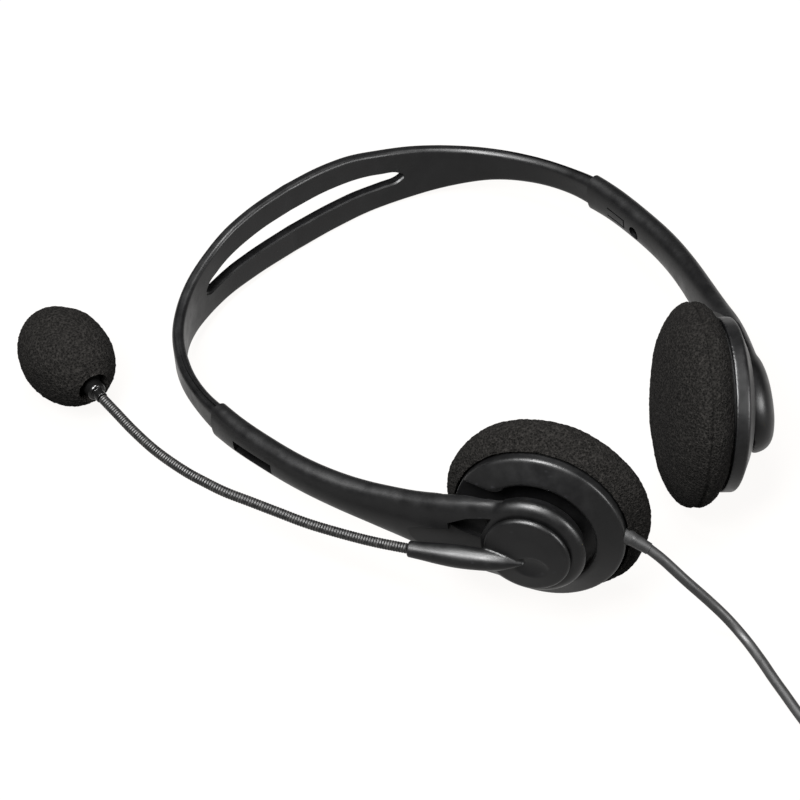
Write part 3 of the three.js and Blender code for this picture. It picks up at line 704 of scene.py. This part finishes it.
def make_cord():
    """One cord from the strain relief, over the table, round the coil and on to the plug."""
    # the last turn ends at the coil's side that faces the plug's lead: -90 degrees
    part_turn = (math.radians(-90) - COIL_START) / (2 * math.pi) % 1
    route = [CORD_START, *CORD_ROUTE[:-1], *coil_points(2 + part_turn), *TAIL_ROUTE]
    curve = bpy.data.curves.new("cord", "CURVE")
    curve.dimensions = "3D"
    curve.bevel_depth = CORD_R * MM
    curve.bevel_resolution = 4
    curve.resolution_u = 4
    curve.use_fill_caps = True
    spline = curve.splines.new("BEZIER")
    spline.bezier_points.add(len(route) - 1)
    for point, place_mm in zip(spline.bezier_points, route):
        point.co = (Vector(place_mm) + TABLE_SHIFT) * MM
        point.handle_left_type = point.handle_right_type = "AUTO"
    curve.materials.append(SLEEVE)
    cord = bpy.data.objects.new("cord", curve)
    bpy.context.scene.collection.objects.link(cord)
    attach(cord, "left_ear")
    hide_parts("cord_lead", "cord_coil", "cord_tail")
    return cord


cord = make_cord()


# ---- strain relief, plug and tie ------------------------------------------------------------
RELIEF_START = (-22.6, -1.7, 0)
RELIEF_ANGLE = 30
RELIEF_LENGTH = 7.5
# Insulating rings round the plug's pin, as (start, end) along it.
PIN_RINGS = [(30.0, 30.6), (33.5, 34.1)]


def make_relief():
    """The cord's short sleeve on the left shell's edge, cut to the shell's round wall."""
    profile = filleted([(0, -1.0), (2.0, -1.0), (2.0, 1.7), (1.8, 2.5), (1.6, RELIEF_LENGTH - GAP),
                        (1.42, RELIEF_LENGTH - GAP), (1.42, 4), (0, 4)], 0.25)
    a = math.radians(RELIEF_ANGLE)
    body = spin("relief", profile, 48)
    inside = rod(SHELL_R - 0.4, -9, 9, segments=128)
    moved(body, turned_to((-math.cos(a), 0, -math.sin(a)), RELIEF_START))
    combined(body, [inside], "DIFFERENCE")
    return place(body, "cord_sleeve", LEFT_EAR, "left_ear", SLEEVE, "cord_pvc",
                 ["cord_strain_relief"])


def make_plug():
    """Ribbed strain relief, grooved grip and the pin with its insulating rings."""
    matrix = TABLE @ turned_to(PLUG_DIRECTION, PLUG_START)
    rib_pitch, groove_pitch = 1.6, 1.7
    ribs = [(0, 0), (1.9, 0)]
    for k in range(5):
        y = 0.9 + rib_pitch * k
        wide = 1.95 + 0.15 * k
        ribs += [(wide, y), (wide + 0.1, y + 0.15), (wide + 0.1, y + 0.85), (wide - 0.3, y + 1.0),
                 (wide - 0.3, y + 1.45)]
    ribs += [(2.7, 8.7), (0, 8.7)]
    relief = place(spin("ribs", filleted(ribs, 0.1, 2), 48), "plug_sleeve", matrix, "left_ear",
                   PLUG_GRIP, "cord_pvc", ["plug_strain_relief"])
    grip = [(0, 9), (3.4, 9), (3.9, 10.2)]
    for k in range(6):
        y = 13 + groove_pitch * k
        grip += [(3.9, y), (3.55, y + 0.25), (3.55, y + 0.75), (3.9, y + 1.0)]
    grip += [(3.9, 25.4), (3.5, 26), (0, 26)]
    body = place(spin("grip", filleted(grip, 0.2, 3), 64), "plug_grip", matrix, "left_ear",
                 PLUG_GRIP, "cord_pvc", ["plug_body"])
    pin = [(0, 26.3), (1.75, 26.3)]
    for start, end in PIN_RINGS:
        pin += [(1.75, start - 0.1), (1.66, start), (1.66, end), (1.75, end + 0.1)]
    pin += [(1.75, 37.2), (1.3, 38.0), (1.7, 38.8), (1.45, 39.4), (0.6, 40.3), (0, 40.3)]
    contacts = spin("pin", filleted(pin, 0.08, 2), 48)
    place(contacts, "plug_pin", matrix, "left_ear", GOLD, "gold", ["plug_contacts"])
    contacts.data.materials.append(GLOSSY)
    to_plug = (Matrix.Scale(MM, 4) @ matrix).inverted()
    for face in contacts.data.polygons:
        along_pin = (to_plug @ face.center).y
        if any(start < along_pin < end + 0.02 for start, end in PIN_RINGS):
            face.material_index = 1
    return [relief, body, contacts]


def make_tie():
    """A fabric strap once round the coil's turns, with its free end laid over its start."""
    middle_r, half_r, middle_z, half_z = 15.45, 8.3, 6.25, 5.9
    half_width, half_thick = 2.5, 0.38
    overlap_rows = 7
    ring = rounded_section(half_r, half_z, 2.2, 7, 6)
    section = rounded_section(half_width, half_thick, 0.3, 3, 4)
    closing = len(ring)
    rings = []
    for k in range(closing + overlap_rows):
        a, z = ring[k % closing]
        length = math.hypot(a, z)
        lift = 1 + 0.03 * min(max(k - closing + 2, 0), 2)
        rings.append([(middle_r + a * (lift + out / length), middle_z + z * (lift + out / length),
                       across) for across, out in section])
    tie = loft("tie", rings)
    matrix = (TABLE @ Matrix.Translation((*COIL_CENTRE, 0))
              @ Matrix.Rotation(math.radians(TIE_ANGLE), 4, "Z")
              @ Matrix.Rotation(math.radians(90), 4, "X"))
    return place(tie, "tie_strap", matrix, "left_ear", TIE, "tie_fabric", ["coil_tie"])


relief_piece = make_relief()
plug_pieces = make_plug()
tie_piece = make_tie()


# ---- headband -------------------------------------------------------------------------------
def make_tongue(side):
    """Flat strip with ratchet teeth along its outer face."""
    half = TONGUE_THICK / 2
    strip = block(-4, TONGUE_LENGTH, -half, half, -TONGUE_WIDTH / 2, TONGUE_WIDTH / 2)
    notches = []
    for x in np.arange(3.0, TONGUE_LENGTH - 2, TOOTH_PITCH):
        notch = block(-0.35, 0.35, -0.35, 0.35, -1.7, 1.7)
        moved(notch, Matrix.Translation((x, half, side * -1.1))
              @ Matrix.Rotation(math.radians(45), 4, "Z"))
        notches.append(notch)
    combined(strip, notches, "DIFFERENCE")
    return moved(strip, slide_frame(side))


def slot_section(w):
    """Across the slot: it opens out towards both faces, as an eased edge does."""
    face = look_up(BAND_THICK, 0) / 2
    flare, beyond = 0.35, 2
    side = [(w + flare + beyond, -face - beyond), (w + flare, -face), (w, flare - face),
            (w, face - flare), (w + flare, face), (w + flare + beyond, face + beyond)]
    return side[-1:] + [(-a, out) for a, out in reversed(side)] + side[:-1]


def edge_groove(side, edge):
    """Groove along one edge of the band near its end, running out towards the crown."""
    rings = []
    first = 58
    for s in np.linspace(first, SEAM + 1, 24):
        half_w = look_up(BAND_WIDTH, s) / 2
        deep = 0.7 * min((s - first + 1) / 12, 1)
        outline = ((half_w - deep, 0.75), (half_w + 1, 0.95), (half_w + 1, -0.15),
                   (half_w - deep, 0.05))
        rings.append([strip_point(side * s, edge * a, o) for a, o in outline])
    return loft("groove", rings)


def make_headband():
    """The slotted band, with a groove in each edge near its ends and a tongue at each end."""
    reach = SEAM - GAP / 2
    sharpest = 1.1                  # edge radius at the crown
    stations = np.linspace(-reach, reach, 181)
    rings = []
    for s in stations:
        half_w = look_up(BAND_WIDTH, abs(s)) / 2
        half_t = look_up(BAND_THICK, abs(s)) / 2
        eased = min(sharpest + max(abs(s) - 40, 0) * 0.015, 0.97 * half_t)
        rings.append([strip_point(s, a, o) for a, o in rounded_section(half_w, half_t, eased, 9)])
    band = loft("band", rings)
    slot = []
    for turn in np.linspace(-90, 90, 61):
        s = SLOT_HALF_LENGTH * math.sin(math.radians(turn))
        w = look_up(SLOT_HALF_WIDTH, abs(s))
        slot.append([strip_point(s, a, o) for a, o in slot_section(w)])
    grooves = [edge_groove(side, edge) for side in (-1, 1) for edge in (-1, 1)]
    combined(band, [loft("slot", slot), *grooves], "DIFFERENCE")
    combined(band, [make_tongue(-1), make_tongue(1)], "UNION")
    place(band, "headband_moulding", HEADSET, "headband", SATIN, "black_plastic", ["headband"])


# ---- arms -----------------------------------------------------------------------------------
# Flat on the left arm under the boom's holder, and the pocket between it and the knob: corners
# (towards the crown, through the band) in the left ear frame.
BOOM_FLAT = [(34, -1.2), (29.9, 0.7), (22.7, 2.4), (12.8, 2.4), (12.8, -13), (34, -13)]
KNOB_POCKET = [(21.8, 4.5), (16.5, 7.2), (9.4, 8.9), (12.6, 2.6), (13.3, -1.0), (19.6, 1.1),
               (21.6, 2.4)]


def side_block(x0, x1, y0, y1, side, near, far):
    """A box whose z range is given towards one side, +1 or -1."""
    return block(x0, x1, y0, y1, min(side * near, side * far), max(side * near, side * far))


def underside():
    """The hollow along the arm's inner face, beside its housing."""
    outline = [(12, 4.2), (24, 3.6), (33, 0.1), (33, -8), (12, -8)]
    return loft("underside", [[(x, y, z) for x, y in outline] for z in (-16, 16)])


def make_arm(side, label):
    """Rail and housing as one moulding, hollowed for the tongue, the ball joint and the ear."""
    ear = ear_frame(side)
    slide = slide_frame(side)
    early = 2.0                     # cut away again at the seam
    rings = []
    for s in np.linspace(ARM_START - early, side_line.length - 0.01, 90):
        d = s - ARM_START
        section = oval_section(look_up(ARM_HALF_HEIGHT, d), look_up(ARM_HALF_THICK, d))
        rings.append([strip_point(side * s, a, o) for a, o in section])
    body = loft("rail", rings)
    if side < 0:
        crown = [(POD_R, 5.4), (15.0, 7.2), (15.0, 7.7), (14.2, 8.8), (13.1, 9.4), (12.2, POD_TOP),
                 (0, POD_TOP)]
    else:
        crown = [(13.5, 6.6), (12.6, 8.3), (10.8, 9.6), (7.5, 10.6), (3.5, 11.0), (0, 11.1)]
    foot = [(0, POD_FLOOR), (POD_R, POD_FLOOR), (POD_R, 4.8)]
    dome = spin("dome", filleted([*foot, *crown], 1.6, 5))
    combined(body, [moved(dome, ear)], "UNION")
    softened(body, voxel=0.42, passes=24)

    cut_half = TONGUE_THICK / 2 + GAP
    cut_side = TONGUE_WIDTH / 2 + GAP
    point, normal = along(side * ARM_START)
    square = basis(Vector(normal).cross(Vector((0, 0, side))), Vector(normal), Vector(point))
    cuts = [
        # the arm's square end at the seam
        moved(block(-8, 0, -12, 12, -12, 12), square),
        # room for the ball stud and its cover, and the channel for the headband's tongue
        moved(rod(11.9, POD_FLOOR - 3, 8.2 if side < 0 else 5.4, segments=64), ear),
        moved(block(-4, TONGUE_LENGTH + 1, -cut_half, cut_half, -cut_side, cut_side), slide),
        # window on the outer face, and the finger hole on the inner face
        moved(side_block(9, 23.5, 0, 6, side, -2.8, 0.7), slide),
        moved(rod(1.9, -6, 0, 20.2, side * -0.7), slide),
        # hollow underside that leaves the ear piece room to turn
        moved(underside(), ear),
        moved(block(6.8, 34, -8, 6.8, -16, -10.8), ear),
        moved(block(6.8, 34, -8, 6.8, 10.8, 16), ear),
        # groove that frees the detent finger
        moved(side_block(8.5, 16, -6, 0, side, -1.85, -1.35), slide),
        moved(side_block(8.5, 16, -6, 0, side, 0.65, 1.15), slide),
        moved(side_block(15.5, 16, -6, 0, side, -1.85, 1.15), slide),
    ]
    if side < 0:
        cuts += [moved(rod(2.7, 5, 13), ear), moved(prism(BOOM_FLAT, 6.7, 14.2), ear),
                 moved(prism(KNOB_POCKET, 5.2, 14.2), ear)]
    else:
        cuts.append(moved(rod(5, 5, 6.6, segments=64), ear))
    combined(body, cuts, "DIFFERENCE")
    place(body, f"{label}_arm_moulding", HEADSET, f"{label}_arm", SATIN, "black_plastic",
          [f"{label}_arm_shell"])


# ---- ear pieces -----------------------------------------------------------------------------
def cup_frame(side):
    """The ear piece's own frame: the right one rests tipped on its ball."""
    ear = HEADSET @ ear_frame(side)
    if side < 0:
        return ear
    tip = (Matrix.Translation((0, BALL_CENTRE, 0))
           @ Matrix.Rotation(math.radians(RIGHT_TILT), 4, "X")
           @ Matrix.Translation((0, -BALL_CENTRE, 0)))
    return ear @ tip


def make_shell(side, label):
    """Dished shell with its socket, the keyhole hollow and the hollow's walls."""
    wall = 1.4
    floor = RECESS_FLOOR - 1.1
    outline = [
        *arc(0, BALL_CENTRE, 3.8, 3.8, -44, 43, 8),
        (5.2, 2.0), (5.5, 1.6), (5.5, RECESS_FLOOR), (RECESS_R, RECESS_FLOOR), (RECESS_R, 2.7),
        (16.5, 3.0), (17.2, 2.9), (22.6, 0.5), (SHELL_R, 0), (SHELL_R, -3.4),
        (SHELL_R - wall, -3.4), (SHELL_R - wall, -0.8), (17.2, 1.4), (RECESS_R + wall, 1.2),
        (RECESS_R + wall, floor), (5.4, floor), (4.4, -2.9),
    ]
    outline.append(outline[0])
    body = spin("shell", outline, 128)
    rim = SHELL_R - 0.6
    envelope = spin("envelope", [(0, -2.0), (rim, -2.0), (rim, 0.2), (17, 2.9), (0, 2.9)], 128)
    around = NOTCH_HALF_WIDTH + wall
    walls = combined(block(8, 24, floor, 4, -around, around), [envelope], "INTERSECT")
    combined(walls, [rod(RECESS_R - 0.5, -5, 6, segments=96)], "DIFFERENCE")
    notch = block(0, 30, RECESS_FLOOR, 8, -NOTCH_HALF_WIDTH, NOTCH_HALF_WIDTH)
    combined(notch, [rod(6, -5, 9, segments=64)], "DIFFERENCE")
    combined(body, [walls], "UNION")
    combined(body, [notch], "DIFFERENCE")
    softened(body, voxel=0.33, passes=5)
    place(body, f"{label}_shell_moulding", cup_frame(side), f"{label}_ear", SATIN,
          "black_plastic", [f"{label}_ear_shell"])


def make_baffle(side, label):
    """Plate behind the foam, with seven sound holes."""
    profile = [(0, -9.2), (22.7, -9.2), (22.7, -8.0), (21.3, -8.0), (21.3, -2.1), (20.0, -2.1),
               (20.0, -8.0), (0, -8.0)]
    plate = spin("plate", filleted(profile, 0.3, 3), 128)
    ring_r, hole_r = 7.5, 2.2
    spots = [(0, 0), *arc(0, 0, ring_r, ring_r, 0, 300, 5)]
    holes = [rod(hole_r, -10.6, -6.6, x, z) for x, z in spots]
    combined(plate, holes, "DIFFERENCE")
    place(plate, f"{label}_baffle_plate", cup_frame(side), f"{label}_ear", INNER,
          "inner_plastic", [f"{label}_baffle"])


def make_cushion(side, label):
    """Foam cover drawn over the baffle's rim; the right one shows the fold of its back edge."""
    middle = CUSHION_MIDDLE + (LEFT_SEAT if side < 0 else 0)
    fold_y, fold_width, fold_depth = -10.2, 0.5, 0.7 if side > 0 else 0
    fullness = 2.25                 # 2 would be an ellipse
    last_turn = 34 if side > 0 else 28
    profile = []
    for turn in np.linspace(-90, last_turn, 84):
        c, s = math.cos(math.radians(turn)), math.sin(math.radians(turn))
        reach = (abs(c) ** fullness + abs(s) ** fullness) ** (-1 / fullness)
        r = CUSHION_R * max(c, 0) * reach
        y = middle + CUSHION_HALF_THICK * s * reach
        r -= fold_depth * math.exp(-((y - fold_y) / fold_width) ** 2) * (c > 0.5)
        profile.append((r, y))
    profile[0] = (0, profile[0][1])
    last_r, last_y = profile[-1]
    grip = [(21.8, -4.4), (21.7, -7.6), (23.1, -7.6), (23.1, -9.5)]
    if side > 0:
        back = [(last_r - 0.2, last_y + 0.3), (22.4, -3.9), *grip]
    else:
        rim = SHELL_R + 0.35
        back = [(last_r - 0.3, last_y + 0.35), (24.9, -2.2), (rim, -1.4), (rim, -3.8), *grip]
    profile += filleted(back, 0.7, 4)
    profile += [(r, -9.5) for r in (20, 15, 10, 5, 0)]
    pad = spin("pad", profile, 300)
    foam_skin(pad, 9.0, 0.3, seeds=(1 if side < 0 else 2, 3, 5))
    place(pad, f"{label}_foam_pad", cup_frame(side), f"{label}_ear", FOAM, "foam",
          [f"{label}_ear_cushion"], sharp=80)


# ---- microphone boom ------------------------------------------------------------------------
def make_hub():
    """The knob, with the gooseneck's holder lying across it and running to a point."""
    foot = POD_TOP + GAP
    profile = [(0, foot), (KNOB_R - 0.3, foot), (KNOB_R, 10.2), (KNOB_R, 11.0), (11.0, KNOB_FACE),
               (6, 12.3), (0, 12.5)]
    knob = spin("knob", filleted(profile, 0.35), 128)
    # the holder's radius, by the share of its length
    rows = [(0, 2.15), (0.1, 2.35), (0.25, 2.75), (0.4, 3.05), (0.58, 3.0), (0.75, 2.6),
            (0.84, 2.0), (0.92, 1.1), (1, 0.2)]
    start, tip = np.array(GOOSENECK[0]), np.array((0.5, 12.2, -2.4))
    rings = []
    for share in np.linspace(0, 1, 60):
        middle = start * (1 - share) + tip * share
        droop = 0.9 * math.sin(share * math.pi * 0.5) * (1 - share)
        radius = look_up(rows, share)
        rings.append([middle + (0, droop + radius * math.cos(a), radius * math.sin(a))
                      for a in np.linspace(0, 2 * math.pi, 48, endpoint=False)])
    dimple = spin("dimple", arc(0, 0, 1, 1, -90, 90, 24), 48)
    moved(dimple, Matrix.Translation((-1.6, 13.1, -3.2)) @ Matrix.Diagonal((5.4, 1.6, 3.8, 1)))
    combined(knob, [dimple], "DIFFERENCE")
    shaft = spin("shaft", [(0, 7.2), (2.3, 7.2), (2.3, 10.4), (0, 10.4)], 48)
    combined(knob, [loft("holder", rings), shaft], "UNION")
    softened(knob, voxel=0.26, passes=5)
    combined(knob, [rod(1.2, 6, 11.2)], "DIFFERENCE")
    place(knob, "boom_knob", LEFT_EAR, "boom", SATIN, "black_plastic", ["boom_hub"])


neck_line = Line(GOOSENECK)


def make_neck(name, start, stop, nodes):
    """A length of the gooseneck's ribbed sleeve, between two distances along it."""
    rib_pitch, rib_height, per_rib, around = 0.8, 0.16, 6, 20
    rings = []
    for distance in np.arange(start, stop, rib_pitch / per_rib):
        tangent = neck_line.tangent(distance)
        side = np.cross(tangent, (0, 0, 1))
        side = side / np.linalg.norm(side)
        up = np.cross(side, tangent)
        phase = 2 * math.pi * distance / rib_pitch
        radius = GOOSENECK_R - rib_height * (0.5 - 0.5 * math.cos(phase)) ** 1.5
        rings.append([neck_line.at(distance) + radius * (side * math.cos(a) + up * math.sin(a))
                      for a in np.linspace(0, 2 * math.pi, around, endpoint=False)])
    return place(loft(name, rings), name, LEFT_EAR, None, NECK_SLEEVE, "gooseneck_sleeve", nodes,
                 sharp=80)


def make_gooseneck():
    """Two lengths of ribbed sleeve, each of them reaching across one of the two hinges."""
    joints = [share * neck_line.length for share in NECK_JOINTS]
    middle = sum(joints) / 2
    overlap = 0.2
    spans = [("gooseneck_near", 0.0, middle + overlap, ["gooseneck_lower", "gooseneck_middle"],
              joints[0], "boom", "gooseneck_mid"),
             ("gooseneck_far", middle, neck_line.length, ["gooseneck_upper"],
              joints[1], "gooseneck_mid", "gooseneck_end")]
    for name, start, stop, nodes, joint, one, two in spans:
        neck = make_neck(name, start, stop, nodes)
        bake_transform(neck)


def mic_frame():
    """y from the gooseneck's end towards the windscreen's front."""
    direction = np.array(MIC) - neck_line.at(neck_line.length)
    return LEFT_EAR @ turned_to(direction, MIC)


def make_microphone():
    """The housing at the gooseneck's end, and the foam ball pulled over it."""
    reach = float(np.linalg.norm(np.array(MIC) - neck_line.at(neck_line.length))) - GAP
    housing = [(0, -reach), (1.6, -reach), (1.6, -16.3), (2.3, -16.4), (2.6, -15.9), (2.6, -12.6),
               (3.4, -12.0), (3.4, 0.2), (0, 0.2)]
    place(spin("housing", filleted(housing, 0.25, 5), 64), "mic_barrel", mic_frame(),
          "gooseneck_end", GLOSSY, "black_plastic", ["mic_housing"])
    outside = arc(0, 0.3, WINDSCREEN_R, 15.9, -69, 90, 110)
    outside[-1] = (0, outside[-1][1])
    mouth = filleted([(3.7, 3.5), (3.7, -12.2), (3.9, -13.6), outside[0]], 0.9, 5)
    ball = spin("ball", [(0, 3.5), *mouth, *outside[1:]], 200)
    foam_skin(ball, 7.0, 0.25, seeds=(7, 8, 9))
    place(ball, "foam_ball", mic_frame(), "gooseneck_end", FOAM, "foam", ["mic_windscreen"],
          sharp=80)


make_headband()
for side_sign, side_name in ((-1, "left"), (1, "right")):
    make_arm(side_sign, side_name)
    make_shell(side_sign, side_name)
    make_baffle(side_sign, side_name)
    make_cushion(side_sign, side_name)
make_hub()
make_gooseneck()
make_microphone()

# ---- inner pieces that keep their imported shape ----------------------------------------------
KEPT = {
    "pod_cover": INNER, "driver_frame": INNER, "socket_liner": NYLON, "driver_diaphragm": FILM,
    "ball_stud": STEEL, "driver_magnet": STEEL,
}
kept_nodes = {f"{label}_{name}": finish for label in ("left", "right")
              for name, finish in KEPT.items()}
kept_nodes.update({"boom_spring_washer": STEEL, "boom_screw": STEEL, "mic_capsule": STEEL})
for node_name, finish in kept_nodes.items():
    for material_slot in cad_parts[node_name].material_slots:
        material_slot.material = finish


# ---- table, light and view ------------------------------------------------------------------
TABLE_HALF = 3                  # metres
TABLE_GLOW = 0.95               # keeps the shadows faint
# Soft boxes: name, place and aim in metres, side in metres, power in watts.
LIGHTS = [
    ("top_light", (0.0, 0.1, 1.2), (0, 0, 0), 0.45, 60),
    ("left_light", (-0.6, -0.12, 1.08), (0, 0, 0.02), 0.5, 110),
    ("right_light", (0.45, -1.15, 0.6), (0, 0, 0.02), 0.45, 45),
]


def make_table():
    """A plain pale table top."""
    h = TABLE_HALF
    floor = new_object("table_top", [(-h, -h, 0), (h, -h, 0), (h, h, 0), (-h, h, 0)],
                       [(0, 1, 2, 3)])
    shader = Shader("white_table", 0.75, Specular_IOR_Level=0.0, Emission_Strength=TABLE_GLOW)
    shader.surface.inputs["Emission Color"].default_value = (1, 0.985, 0.97, 1)
    shader.colour(shader.colours(shader.noise(60, 3), grey(0.009), grey(0.011)))
    shader.bump(shader.noise(1.2, 3), 0.01)
    floor.data.materials.append(shader.material)


def softbox(name, place_at, aim, side, power):
    """A square lamp that faces its aim."""
    data = bpy.data.lights.new(name, "AREA")
    data.shape = "RECTANGLE"
    data.size = data.size_y = side
    data.energy = power
    lamp = bpy.data.objects.new(name, data)
    lamp.location = place_at
    lamp.rotation_mode = "QUATERNION"
    lamp.rotation_quaternion = (Vector(aim) - Vector(place_at)).to_track_quat("-Z", "Y")
    bpy.context.scene.collection.objects.link(lamp)


def make_light():
    """A faint even world, and the soft boxes."""
    world = bpy.data.worlds.new("studio")
    world.use_nodes = True
    background = world.node_tree.nodes["Background"]
    background.inputs["Color"].default_value = (1, 1, 1, 1)
    background.inputs["Strength"].default_value = 0.08
    bpy.context.scene.world = world
    for light in LIGHTS:
        softbox(*light)
    bpy.context.scene.view_settings.view_transform = "Standard"


make_table()
make_light()

bpy.context.view_layer.update()
